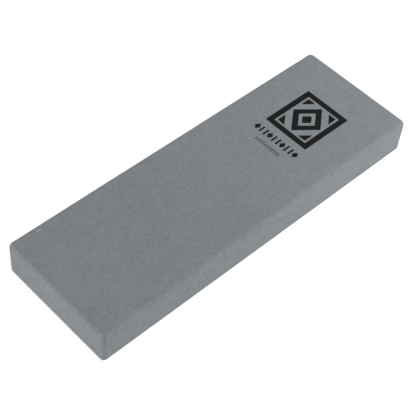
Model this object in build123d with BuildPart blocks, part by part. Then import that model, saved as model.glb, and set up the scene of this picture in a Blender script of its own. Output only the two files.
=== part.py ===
from build123d import *
import os

# A full-size bench whetstone: one pressed and fired block of fine grey abrasive with its edges broken, and
# the black mark that is screen-printed near one end of its working face.
#
# Millimetres, +Z up. The origin is the centre of the face that the stone rests on. +X runs along the stone
# to its printed end, and the mark is read from the other end, so +X is also up in the print.

# The block
LENGTH = 210.0
WIDTH = 70.0
THICKNESS = 21.5
ARRIS = 1.25  # leg of the chamfer on all twelve edges

# The ink soaks this far into the pores and ends level with the ground face
INK_DEPTH = 0.1

# Emblem: a frame around a lozenge ring with a small lozenge in it, and a triangle in each corner
EMBLEM_X = 64.5  # its centre, along the stone
EMBLEM_HEIGHT = 33.0  # along the stone
EMBLEM_WIDTH = 28.8  # across the stone
FRAME_STROKE = 3.3
FRAME_GAP = 1.2  # bare line between the frame and what it holds
RING_HOLE = 0.58  # the ring's hole, as a share of the ring
CORE = 0.32  # the small lozenge, as a share of the ring
CORNER = 0.5  # a triangle's legs, as a share of the ring's half diagonals

# Ornament row: lozenges with a pair of bars between each two
ROW_X = 41.2
ROW_WIDTH = 30.4
ROW_HEIGHT = 4.8
LOZENGES = 4
LOZENGE_WIDTH = 3.4
ROW_BAR_WIDTH = 1.1

# Tick row: thin upright ticks at an even pitch
TICKS_X = 34.6
TICKS_WIDTH = 16.2
TICK_HEIGHT = 2.5
TICK_THICKNESS = 0.45
TICKS = 13

frame_opening = (EMBLEM_HEIGHT - 2 * FRAME_STROKE, EMBLEM_WIDTH - 2 * FRAME_STROKE)
ring_tip_x = frame_opening[0] / 2 - FRAME_GAP
ring_tip_y = frame_opening[1] / 2 - FRAME_GAP

lozenge_pitch = (ROW_WIDTH - LOZENGE_WIDTH) / (LOZENGES - 1)
row_bar_pitch = lozenge_pitch / 3
tick_pitch = (TICKS_WIDTH - TICK_THICKNESS) / (TICKS - 1)

ink_floor = THICKNESS - INK_DEPTH


def lozenge(tip_x, tip_y):
    """Corners of a lozenge about the origin, from its two half diagonals."""
    return (tip_x, 0), (0, tip_y), (-tip_x, 0), (0, -tip_y)


with BuildPart() as ink_emblem:
    with BuildSketch(Plane((EMBLEM_X, 0, ink_floor))):
        Rectangle(EMBLEM_HEIGHT, EMBLEM_WIDTH)
        Rectangle(*frame_opening, mode=Mode.SUBTRACT)
        Polygon(*lozenge(ring_tip_x, ring_tip_y))
        Polygon(*lozenge(ring_tip_x * RING_HOLE, ring_tip_y * RING_HOLE), mode=Mode.SUBTRACT)
        Polygon(*lozenge(ring_tip_x * CORE, ring_tip_y * CORE))
        for x, y in ((ring_tip_x, ring_tip_y), (ring_tip_x, -ring_tip_y)):
            corner = Polygon((x, y), (x * (1 - CORNER), y), (x, y * (1 - CORNER)), align=None)
            mirror(corner, about=Plane.YZ)
    extrude(amount=INK_DEPTH)

with BuildPart() as ink_lozenge_row:
    with BuildSketch(Plane((ROW_X, 0, ink_floor))):
        with GridLocations(0, lozenge_pitch, 1, LOZENGES):
            Polygon(*lozenge(ROW_HEIGHT / 2, LOZENGE_WIDTH / 2))
        with GridLocations(0, lozenge_pitch, 1, LOZENGES - 1):
            with GridLocations(0, row_bar_pitch, 1, 2):
                Rectangle(ROW_HEIGHT, ROW_BAR_WIDTH)
    extrude(amount=INK_DEPTH)

with BuildPart() as ink_tick_row:
    with BuildSketch(Plane((TICKS_X, 0, ink_floor))):
        with GridLocations(0, tick_pitch, 1, TICKS):
            Rectangle(TICK_HEIGHT, TICK_THICKNESS)
    extrude(amount=INK_DEPTH)

# The block is whole but for the pores that the ink fills
with BuildPart() as abrasive_block:
    Box(LENGTH, WIDTH, THICKNESS, align=(Align.CENTER, Align.CENTER, Align.MIN))
    chamfer(abrasive_block.edges(), length=ARRIS)
    for ink in (ink_emblem, ink_lozenge_row, ink_tick_row):
        add(ink.part, mode=Mode.SUBTRACT)

pieces = {
    "abrasive_block": abrasive_block,
    "ink_emblem": ink_emblem,
    "ink_lozenge_row": ink_lozenge_row,
    "ink_tick_row": ink_tick_row,
}

os.makedirs("parts", exist_ok=True)
for name, piece in pieces.items():
    piece.part.label = name
    export_step(piece.part, f"parts/{name}.step")
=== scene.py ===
import math

import bmesh
import bpy
import numpy as np
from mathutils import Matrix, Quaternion, Vector, noise
from mathutils.geometry import tessellate_polygon


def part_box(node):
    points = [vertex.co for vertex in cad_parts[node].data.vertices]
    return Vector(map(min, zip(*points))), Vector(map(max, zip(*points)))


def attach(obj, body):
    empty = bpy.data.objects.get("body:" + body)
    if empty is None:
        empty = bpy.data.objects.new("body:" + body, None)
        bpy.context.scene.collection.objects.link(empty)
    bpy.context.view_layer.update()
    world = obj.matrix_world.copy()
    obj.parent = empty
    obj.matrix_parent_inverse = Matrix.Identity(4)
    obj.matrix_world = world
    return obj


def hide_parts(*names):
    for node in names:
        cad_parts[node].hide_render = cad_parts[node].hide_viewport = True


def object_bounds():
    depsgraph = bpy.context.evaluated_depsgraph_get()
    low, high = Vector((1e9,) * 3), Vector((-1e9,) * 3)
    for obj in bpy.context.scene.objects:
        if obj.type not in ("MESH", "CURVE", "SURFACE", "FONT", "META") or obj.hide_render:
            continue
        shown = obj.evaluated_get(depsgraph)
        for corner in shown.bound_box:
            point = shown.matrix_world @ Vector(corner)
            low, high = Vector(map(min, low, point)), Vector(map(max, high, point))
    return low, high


# A grey bench whetstone with a black print near one end, lying on a white studio table. The stone and the
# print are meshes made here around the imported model, in metres. Small lengths are given in millimetres.
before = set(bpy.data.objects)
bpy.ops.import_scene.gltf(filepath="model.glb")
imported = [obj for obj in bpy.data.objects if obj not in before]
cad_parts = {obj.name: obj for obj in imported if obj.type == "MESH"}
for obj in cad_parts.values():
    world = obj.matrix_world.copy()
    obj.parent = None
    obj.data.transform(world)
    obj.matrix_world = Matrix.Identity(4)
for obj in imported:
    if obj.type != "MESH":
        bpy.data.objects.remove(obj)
cad_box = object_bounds()

MM = 0.001

# Stone, in millimetres
CHAMFER = 1.25  # mean leg of the broken edges
END_WEAR = 1.1  # how much wider the edges along Y are rubbed
END_REACH = 4.0  # the ends are handled most, so the edges wear pale within this distance of them
CHAMFER_DRIFT = 0.12  # how far that leg wanders along an edge
DRIFT_GRAINS = ((27.0, 1.0), (5.0, 0.5))  # sizes and shares of that drift
CORNER = 2.0  # what the three depths at a corner add up to, in legs
TOP_CORNER_WEAR = 0.5  # and how much more at the four upper ones, which are rubbed most
SOFTNESS = 0.2  # rounding where a chamfer meets a face
CORE = 3.0  # depth below the faces from which the edges are shaped
HALVINGS = 24  # steps of the search for the surface
GRID = 1.25  # mesh pitch on the faces
FINE_REACHES = (3.2, 1.7)  # the pitch halves within each of these distances of an edge
FACE_GRAIN = 0.006  # height of the grain that shows as real relief on the faces
EDGE_GRAIN = 0.02  # and along the broken edges
EDGE_REACH = 1.6  # how far an edge's grain and wear reach from it, in legs
RELIEF_GRAINS = ((0.7, 1.0), (0.33, 0.6))  # sizes and shares of the relief
CHIPS = 150  # tiny bites along the edges
CHIP_RADII = (0.5, 1.6)
CHIP_DEPTHS = (0.05, 0.26)
CHIP_GRAIN = 0.45  # size of the roughness in a chip
CHIP_ROUGHNESS = 0.06  # its height, as a share of the chip's radius
SEED = 11

# Print, in millimetres
INK_STEP = 0.35  # spacing of the points along a printed outline
INK_BLEED = 0.05  # how far the outline strays where the ink meets the grain
INK_RISE = 0.02  # the film's top above the stone
INK_SINK = 0.06  # the film's foot below it
WELD = 0.001  # CAD vertices this close are one
TOP_DEPTH = 0.01  # CAD vertices within this depth belong to the printed face
BLEED_GRAIN = 0.55  # size of the waves in a printed edge
BLEED_SHIFT = 50.0  # apart in the noise, so that the edge strays along X and Y on its own
ROUNDINGS = 2  # passes that round a printed corner


# ---- Mesh helpers ----------------------------------------------------------------------------------------


def placed(name, data):
    """A new object in the scene that holds a mesh, a lamp or a camera."""
    made = bpy.data.objects.new(name, data)
    bpy.context.collection.objects.link(made)
    return made


def show(name, mesh, material, slot, *nodes):
    """Shows a finished mesh as a piece that stands for CAD nodes."""
    mesh.materials.append(material)
    piece = placed(name, mesh)
    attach(piece, "root")
    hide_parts(*nodes)


def grain_at(points, size):
    """Smooth noise from -1 to 1 at each point, with features of about that size."""
    return np.array([noise.noise(Vector(p) / size) for p in points])


def grains_at(points, grains):
    """The sum of several such noises, from their sizes and shares."""
    return sum(share * grain_at(points, size) for size, share in grains)


# ---- The stone -------------------------------------------------------------------------------------------


def surface_grid(half, pitch):
    """Vertices and quads that cover a box about the origin, with square cells of about that pitch."""
    cells = [max(1, round(2 * h / pitch)) for h in half]
    found = {}
    quads = []
    for axis in range(3):
        u, v = (axis + 1) % 3, (axis + 2) % 3
        for side in (0, cells[axis]):
            for i in range(cells[u]):
                for j in range(cells[v]):
                    corners = []
                    for du, dv in ((0, 0), (1, 0), (1, 1), (0, 1)):
                        key = [0, 0, 0]
                        key[axis], key[u], key[v] = side, i + du, j + dv
                        corners.append(found.setdefault(tuple(key), len(found)))
                    quads.append(corners if side else corners[::-1])
    points = (np.array(list(found)) / cells * 2 - 1) * half
    return points, quads


def edge_distance(points, half):
    """How far each point of the box's surface is from its nearest edge."""
    return np.sort(half - np.abs(points), axis=1)[:, 1]


def refine(bm, half, reach):
    """Halves the mesh pitch within reach of the box's edges."""
    points = np.array([v.co for v in bm.verts])
    near = edge_distance(points, half) < reach
    bm.verts.ensure_lookup_table()
    bm.verts.index_update()
    edges = [e for e in bm.edges if near[e.verts[0].index] and near[e.verts[1].index]]
    bmesh.ops.subdivide_edges(bm, edges=edges, cuts=1, use_grid_fill=True)


def inside_depth(points, half, leg):
    """Depth of each point below the chamfered box, with soft edges: zero on its surface."""
    x, y, z = (half - np.abs(points)).T
    flats = (x, y, z)
    sums = (x + y - leg, y + z - leg, x + z - leg * END_WEAR)
    chamfers = [s / math.sqrt(2) for s in sums]
    cut = CORNER + TOP_CORNER_WEAR * (points[:, 2] > 0)
    corner = (x + y + z - cut * leg) / math.sqrt(3)
    gaps = np.stack([*flats, *chamfers, corner])
    least = gaps.min(axis=0)
    return least - SOFTNESS * np.log(np.exp((least - gaps) / SOFTNESS).sum(axis=0))


def break_edges(points, half):
    """Moves each point of the box's surface straight towards the box's core, onto the chamfered shape."""
    leg = CHAMFER + CHAMFER_DRIFT * grains_at(points, DRIFT_GRAINS)
    core = np.clip(points, CORE - half, half - CORE)
    low, high = np.zeros(len(points)), np.ones(len(points))
    for _ in range(HALVINGS):
        middle = (low + high) / 2
        outside = inside_depth(core + (points - core) * middle[:, None], half, leg) < 0
        high = np.where(outside, middle, high)
        low = np.where(outside, low, middle)
    return core + (points - core) * low[:, None]


def chip_edges(points, half, rng):
    """Presses small rough hollows into the edges. Returns the points and how deep each was pushed."""
    pushed = np.zeros(len(points))
    lengths = np.repeat(half, 4)
    for _ in range(CHIPS):
        axis = int(rng.choice(12, p=lengths / lengths.sum())) // 4
        out = np.where(rng.random(3) < 0.5, -1.0, 1.0)
        out[axis] = 0.0
        place = out * (half - CHAMFER / 2)
        place[axis] = rng.uniform(-1, 1) * (half[axis] - CHAMFER)
        radius, depth = rng.uniform(*CHIP_RADII), rng.uniform(*CHIP_DEPTHS)
        centre = place + out / math.sqrt(2) * (radius - depth)
        away = points - centre
        distance = np.linalg.norm(away, axis=1)
        hit = np.nonzero(distance < radius)[0]
        if not len(hit):
            continue
        rough = radius * (1 + CHIP_ROUGHNESS * grain_at(points[hit], CHIP_GRAIN))
        goal = np.maximum(distance[hit], rough)
        points[hit] = centre + away[hit] / distance[hit, None] * goal[:, None]
        pushed[hit] = np.maximum(pushed[hit], goal - distance[hit])
    return points, pushed


def stone_mesh():
    """The block with softly chamfered, slightly chipped edges.

    It carries two values for its material: wear along the edges, and sawn, which is 0 on the ground top and
    base and 1 on the sides.
    """
    low, high = (np.array(corner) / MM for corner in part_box("abrasive_block"))
    half, centre = (high - low) / 2, (high + low) / 2
    rng = np.random.default_rng(SEED)

    bm = bmesh.new()
    points, quads = surface_grid(half, GRID)
    vertices = [bm.verts.new(p) for p in points]
    for quad in quads:
        bm.faces.new([vertices[i] for i in quad])
    for reach in FINE_REACHES:
        refine(bm, half, reach)

    flat = np.array([v.co for v in bm.verts])
    points = break_edges(flat, half)
    edge = np.clip(1 - edge_distance(flat, half) / (EDGE_REACH * CHAMFER), 0, 1)
    grain = grains_at(points, RELIEF_GRAINS) / sum(share for _, share in RELIEF_GRAINS)
    inward = (np.clip(points, CORE - half, half - CORE) - points) / CORE
    depth = (FACE_GRAIN + (EDGE_GRAIN - FACE_GRAIN) * edge) * (0.5 + 0.5 * grain)
    points = points + inward * depth[:, None]
    points, pushed = chip_edges(points, half, rng)

    for vertex, p in zip(bm.verts, (points + centre) * MM):
        vertex.co = p
    for face in bm.faces:
        face.smooth = True
    mesh = bpy.data.meshes.new("stone")
    bm.to_mesh(mesh)
    bm.free()
    handled = np.clip((np.abs(flat[:, 0]) - half[0]) / END_REACH + 1, 0, 1)
    legs_in = (half[2] - np.abs(flat[:, 2])) / CHAMFER
    wear = edge * handled * np.clip(2 - legs_in, 0, 1) + pushed / CHIP_DEPTHS[1]
    for name, values in (("wear", wear), ("sawn", legs_in)):
        layer = mesh.attributes.new(name, "FLOAT", "POINT")
        layer.data.foreach_set("value", np.clip(values, 0, 1).astype(np.float32))
    return mesh


# ---- The print -------------------------------------------------------------------------------------------


def printed_areas(node):
    """Each printed area of a CAD node as a list of closed outlines, in millimetres."""
    bm = bmesh.new()
    bm.from_mesh(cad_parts[node].data)
    bmesh.ops.remove_doubles(bm, verts=bm.verts, dist=WELD * MM)
    top = max(v.co.z for v in bm.verts)
    below = [v for v in bm.verts if v.co.z < top - TOP_DEPTH * MM]
    bmesh.ops.delete(bm, geom=below, context="VERTS")
    areas, seen = [], set()
    for first in bm.faces:
        rim, reached = [], [first]
        while reached:
            face = reached.pop()
            if face not in seen:
                seen.add(face)
                rim += [e for e in face.edges if len(e.link_faces) == 1]
                reached += [f for e in face.edges for f in e.link_faces]
        if rim:
            areas.append(outlines(rim))
    bm.free()
    return areas


def outlines(rim):
    """Chains rim edges into closed outlines, as arrays of x, y in millimetres."""
    loops = []
    left = dict.fromkeys(rim)
    while left:
        start, at = left.popitem()[0].verts
        loop = [start]
        while at != start:
            loop.append(at)
            step = next(e for e in at.link_edges if e in left)
            del left[step]
            at = step.other_vert(at)
        loops.append(np.array([v.co[:2] for v in loop]) / MM)
    return loops


def bled(outline):
    """The outline with closely spaced points, corners slightly rounded by the ink, and a grainy edge."""
    points = []
    for a, b in zip(outline, np.roll(outline, -1, axis=0)):
        steps = max(2, round(float(np.linalg.norm(b - a)) / INK_STEP))
        points += [a + (b - a) * i / steps for i in range(steps)]
    points = np.array(points)
    for _ in range(ROUNDINGS):
        points = (np.roll(points, 1, axis=0) + 2 * points + np.roll(points, -1, axis=0)) / 4
    spread = np.column_stack([points, np.zeros(len(points))])
    points[:, 0] += INK_BLEED * grain_at(spread, BLEED_GRAIN)
    points[:, 1] += INK_BLEED * grain_at(spread + BLEED_SHIFT, BLEED_GRAIN)
    return points


def ink_mesh(name, node):
    """A closed thin film over the node's printed areas, sunk into the stone and just proud of it."""
    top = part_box(node)[1][2] / MM
    vertices, faces = [], []
    for area in printed_areas(node):
        loops = [bled(outline) for outline in area]
        flat = np.vstack(loops)
        count, first = len(flat), len(vertices)
        vertices += [(x, y, top + INK_RISE) for x, y in flat] + [(x, y, top - INK_SINK) for x, y in flat]
        for tri in tessellate_polygon([[Vector((x, y, 0)) for x, y in loop] for loop in loops]):
            faces.append([first + i for i in tri])
            faces.append([first + count + i for i in tri[::-1]])
        begin = first
        for loop in loops:
            ring = [begin + i for i in range(len(loop))]
            faces += [(a, b, b + count, a + count) for a, b in zip(ring, ring[1:] + ring[:1])]
            begin += len(loop)
    mesh = bpy.data.meshes.new(name)
    mesh.from_pydata([Vector(v) * MM for v in vertices], [], faces)
    bm = bmesh.new()
    bm.from_mesh(mesh)
    bmesh.ops.recalc_face_normals(bm, faces=bm.faces)
    bm.to_mesh(mesh)
    bm.free()
    return mesh


# ---- Materials -------------------------------------------------------------------------------------------


class Material:
    """A new node material with a Principled shader, and short ways to add nodes to it."""

    def __init__(self, name):
        self.material = bpy.data.materials.new(name)
        self.material.use_nodes = True
        self.tree = self.material.node_tree
        self.tree.nodes.clear()
        self.shader = self.add("ShaderNodeBsdfPrincipled")
        output = self.add("ShaderNodeOutputMaterial")
        self.tree.links.new(self.shader.outputs[0], output.inputs[0])
        place = self.add("ShaderNodeTexCoord").outputs["Object"]
        scaled = self.add("ShaderNodeVectorMath", {0: place, "Scale": 1 / MM}, operation="SCALE")
        self.place = scaled.outputs[0]

    def add(self, kind, inputs=None, **settings):
        made = self.tree.nodes.new(kind)
        for name, value in settings.items():
            setattr(made, name, value)
        self.set(made, inputs or {})
        return made

    def set(self, target, inputs):
        for name, value in inputs.items():
            if isinstance(value, bpy.types.NodeSocket):
                self.tree.links.new(value, target.inputs[name])
            else:
                target.inputs[name].default_value = value

    def math(self, operation, *values):
        """The result of a math node. Its inputs may be sockets or numbers."""
        return self.add("ShaderNodeMath", dict(enumerate(values)), operation=operation).outputs[0]

    def vector(self, operation, *values):
        """The same for a vector math node, which gives a number for a length."""
        made = self.add("ShaderNodeVectorMath", dict(enumerate(values)), operation=operation)
        return made.outputs["Value" if operation == "LENGTH" else "Vector"]

    def total(self, *values):
        result = values[0]
        for value in values[1:]:
            result = self.math("ADD", result, value)
        return result

    def noise(self, size, detail=2.0, roughness=0.5, place=None):
        """Noise about zero, from about -1 to 1, with features of that size in millimetres."""
        texture = self.add("ShaderNodeTexNoise", {
            "Vector": place or self.place,
            "Scale": 1 / size,
            "Detail": detail,
            "Roughness": roughness,
        })
        return self.math("MULTIPLY_ADD", texture.outputs["Fac"], 2.0, -1.0)

    def ramp(self, value, low, high):
        """0 at low, 1 at high, and smooth in between. low may be above high."""
        inputs = {"Value": value, "From Min": low, "From Max": high}
        return self.add("ShaderNodeMapRange", inputs, interpolation_type="SMOOTHSTEP").outputs["Result"]

    def attribute(self, name):
        return self.add("ShaderNodeAttribute", attribute_name=name).outputs["Fac"]

    def spot(self, place, radii):
        """A soft ragged spot: 1 in its middle and 0 outside, place and radii in millimetres."""
        away = self.vector("DIVIDE", self.vector("SUBTRACT", self.place, place), radii)
        ragged = self.math("MULTIPLY_ADD", self.noise(0.8), 0.5, self.vector("LENGTH", away))
        return self.ramp(ragged, 1.0, 0.4)

    def cells(self, pitch):
        """Packed cells of about that pitch: distance from a cell's middle, and two values of its own."""
        inputs = {"Vector": self.place, "Scale": 1 / pitch, "Randomness": 1.0}
        texture = self.add("ShaderNodeTexVoronoi", inputs)
        own = self.add("ShaderNodeSeparateColor", {0: texture.outputs["Color"]})
        return texture.outputs["Distance"], own.outputs[0], own.outputs[1]

    def dots(self, pitch, radius, share):
        """Sparse round dots: 1 inside a dot and 0 outside, in that share of cells of that pitch."""
        distance, lot, spread = self.cells(pitch)
        chosen = self.math("LESS_THAN", lot, share)
        size = self.math("MULTIPLY_ADD", spread, radius / pitch * 0.7, radius / pitch * 0.5)
        reach = self.math("DIVIDE", distance, size)
        return self.math("MULTIPLY", chosen, self.ramp(reach, 1.0, 0.6))

    def grit(self, pitch):
        """Packed grains of about that pitch, each with its own even value from -0.5 to 0.5."""
        return self.math("SUBTRACT", self.cells(pitch)[1], 0.5)

    def mix(self, factor, a, b):
        """Colour a where factor is 0 and b where it is 1."""
        made = self.add("ShaderNodeMix", data_type="RGBA", clamp_factor=True)
        for socket, value in zip((made.inputs[0], made.inputs[6], made.inputs[7]), (factor, a, b)):
            if isinstance(value, bpy.types.NodeSocket):
                self.tree.links.new(value, socket)
            else:
                socket.default_value = value
        return made.outputs[2]

    def bump(self, height, distance):
        """Gives the surface relief: a value of 1 stands that many millimetres high."""
        inputs = {"Height": height, "Distance": distance * MM, "Strength": 1.0}
        normal = self.add("ShaderNodeBump", inputs)
        self.set(self.shader, {"Normal": normal.outputs[0]})


def grey(value, tint=(1.0, 1.0, 1.0)):
    """A linear colour with alpha."""
    return tuple(value * t for t in tint) + (1.0,)


STONE_TINT = (0.951, 1.014, 1.021)
INK_TINT = (1.03, 1.0, 0.98)

# Small marks of use: place in millimetres from the plain end, from the -Y side and below the top, radii,
# grey value, strength
MARKS = (
    ((16.6, 66.6, 0.0), (2.0, 0.6, 2.0), 0.5, 0.22),
    ((59.8, 23.1, 0.0), (0.6, 0.6, 2.0), 0.04, 0.7),
    ((52.6, 0.0, 10.0), (1.5, 2.0, 1.3), 0.09, 0.5),
    ((0.8, 1.6, 0.6), (0.8, 2.4, 0.8), 0.4, 0.2),
)


def stone_material():
    """Fine grey abrasive: even grain, soft mottling and pinholes, coarser on the sawn sides."""
    m = Material("bonded_abrasive")
    grain = m.noise(0.62, detail=3.0, roughness=0.7)
    grit = m.grit(0.3)
    lay = m.noise(1.0, place=m.vector("MULTIPLY", m.place, (0.035, 1.6, 1.6)))

    # What changes the tone: its strength on the ground faces, and how much stronger it is on the sawn sides
    features = (
        (m.noise(38.0), 0.10, 0.0),
        (m.noise(4.0, detail=3.0), 0.10, 0.08),
        (m.noise(1.6), 0.23, 0.04),
        (grain, 0.32, 0.20),
        (grit, 0.28, 0.16),
        (lay, 0.05, 0.10),
        (m.attribute("wear"), 0.09, 0.0),
    )
    sawn = m.attribute("sawn")
    tone = 0.5
    for feature, strength, more in features:
        strength = m.math("MULTIPLY_ADD", sawn, more, strength)
        tone = m.math("MULTIPLY_ADD", feature, strength, tone)
    colour = m.mix(tone, grey(0.126, STONE_TINT), grey(0.267, STONE_TINT))
    dark_grit = m.dots(1.5, 0.16, 0.30)
    pale_grit = m.dots(1.9, 0.14, 0.22)
    pores = m.dots(3.1, 0.17, 0.30)
    for dots, strength, value in ((dark_grit, 0.35, 0.07), (pale_grit, 0.35, 0.46), (pores, 0.55, 0.05)):
        colour = m.mix(m.math("MULTIPLY", dots, strength), colour, grey(value))
    low, high = (Vector(corner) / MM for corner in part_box("abrasive_block"))
    for (along, across, below), radii, value, strength in MARKS:
        spot = m.spot((low.x + along, low.y + across, high.z - below), radii)
        colour = m.mix(m.math("MULTIPLY", spot, strength), colour, grey(value, STONE_TINT))

    height = m.total(
        m.math("MULTIPLY", grain, 0.6),
        m.math("MULTIPLY", grit, 0.8),
        m.math("MULTIPLY", lay, 0.25),
        m.math("MULTIPLY", pores, -2.0),
    )
    m.bump(height, 0.02)
    m.set(m.shader, {
        "Base Color": colour,
        "Roughness": m.math("MULTIPLY_ADD", grit, 0.12, 0.86),
        "Specular IOR Level": 0.3,
    })
    return m.material


def ink_material():
    """Flat black ink that leaves the highest grains and the pores of the stone partly bare."""
    m = Material("printing_ink")
    film = m.noise(2.6, detail=3.0)
    grain = m.noise(0.3, detail=2.0, roughness=0.6)
    bare = m.dots(0.9, 0.13, 0.22)
    tone = m.total(m.math("MULTIPLY", film, 0.35), m.math("MULTIPLY", grain, 0.6), 0.5)
    colour = m.mix(tone, grey(0.0045), grey(0.0115, INK_TINT))
    colour = m.mix(m.math("MULTIPLY", bare, 0.3), colour, grey(0.10, STONE_TINT))
    m.bump(m.total(grain, m.math("MULTIPLY", bare, 1.5)), 0.012)
    m.set(m.shader, {
        "Base Color": colour,
        "Roughness": m.math("MULTIPLY_ADD", grain, 0.1, 0.78),
        "Specular IOR Level": 0.09,
    })
    return m.material


# ---- The studio ------------------------------------------------------------------------------------------

# Lengths here are in metres, angles in degrees
TABLE_REACH = 3.0
TABLE_GLOW = 0.78
OVERHEAD = 0.72  # brightness of the sky overhead, where the horizon is 1
SKY_FADE = (0.17, 0.5)  # sines of the elevations between which it falls to that

# The camera: where it stands as seen from the point that it looks at, and how far it is tipped
VIEW_AIM = (-0.016722, -0.009881, 0.0205)
VIEW_AZIMUTH = -48.004
VIEW_ELEVATION = 50.106
VIEW_DISTANCE = 0.564
VIEW_ROLL = 6.098
SENSOR = 36.0  # in millimetres, as is the lens
LENS = 99.18


def floor():
    """A white light table: it glows, so that no shadow on it turns grey."""
    m = Material("table")
    m.set(m.shader, {
        "Base Color": grey(0.35),
        "Roughness": 1.0,
        "Specular IOR Level": 0.0,
        "Emission Color": grey(1.0),
        "Emission Strength": TABLE_GLOW,
    })
    mesh = bpy.data.meshes.new("table")
    corners = ((-1, -1), (1, -1), (1, 1), (-1, 1))
    square = [(x * TABLE_REACH, y * TABLE_REACH, cad_box[0][2]) for x, y in corners]
    mesh.from_pydata(square, [], [(0, 1, 2, 3)])
    mesh.materials.append(m.material)
    placed("table", mesh)


def direction(azimuth, elevation):
    """Unit vector from the stone towards a viewer or a lamp. Azimuth 0 stands at -Y and 90 at +X."""
    a, e = math.radians(azimuth), math.radians(elevation)
    return Vector((math.sin(a) * math.cos(e), -math.cos(a) * math.cos(e), math.sin(e)))


def softbox(name, aim, azimuth, elevation, distance, size, watts, colour):
    """A square area light that faces aim."""
    lamp = bpy.data.lights.new(name, "AREA")
    lamp.shape = "SQUARE"
    lamp.size = size
    lamp.energy = watts
    lamp.color = colour
    box = placed(name, lamp)
    back = direction(azimuth, elevation)
    box.location = Vector(aim) + back * distance
    box.rotation_euler = back.to_track_quat("Z", "Y").to_euler()


def sky():
    """White at the horizon and a little darker overhead."""
    world = bpy.data.worlds.new("studio")
    world.use_nodes = True
    tree = world.node_tree
    place = tree.nodes.new("ShaderNodeTexCoord")
    height = tree.nodes.new("ShaderNodeSeparateXYZ")
    fade = tree.nodes.new("ShaderNodeMapRange")
    fade.interpolation_type = "SMOOTHSTEP"
    for name, value in zip(("From Min", "From Max", "To Min", "To Max"), (*SKY_FADE, 1.0, OVERHEAD)):
        fade.inputs[name].default_value = value
    tree.links.new(place.outputs["Generated"], height.inputs[0])
    tree.links.new(height.outputs["Z"], fade.inputs["Value"])
    tree.links.new(fade.outputs["Result"], tree.nodes["Background"].inputs["Color"])
    bpy.context.scene.world = world


def studio():
    middle = (cad_box[0] + cad_box[1]) / 2
    printed_end = Vector((cad_box[1][0], middle[1], middle[2]))
    sky()
    softbox(
        "left", middle, azimuth=-105, elevation=15, distance=0.9, size=0.6, watts=3.1,
        colour=(0.85, 0.80, 1.0),
    )
    softbox(
        "far_right", printed_end, azimuth=60, elevation=25, distance=0.5, size=0.3, watts=2.83,
        colour=(0.81, 0.88, 1.0),
    )
    bpy.context.scene.view_settings.view_transform = "Standard"


def camera():
    lens = bpy.data.cameras.new("camera")
    lens.sensor_width = SENSOR
    lens.lens = LENS
    lens.clip_start = 0.01
    eye = placed("camera", lens)
    back = direction(VIEW_AZIMUTH, VIEW_ELEVATION)
    eye.location = Vector(VIEW_AIM) + back * VIEW_DISTANCE
    eye.rotation_mode = "QUATERNION"
    roll = Quaternion((0, 0, 1), math.radians(VIEW_ROLL))
    eye.rotation_quaternion = back.to_track_quat("Z", "Y") @ roll
    bpy.context.scene.camera = eye


PRINTS = {
    "emblem_print": "ink_emblem",
    "lozenge_print": "ink_lozenge_row",
    "tick_print": "ink_tick_row",
}

show("stone", stone_mesh(), stone_material(), "abrasive", "abrasive_block")
ink = ink_material()
for piece_name, node in PRINTS.items():
    show(piece_name, ink_mesh(piece_name, node), ink, "ink", node)
floor()
studio()
camera()
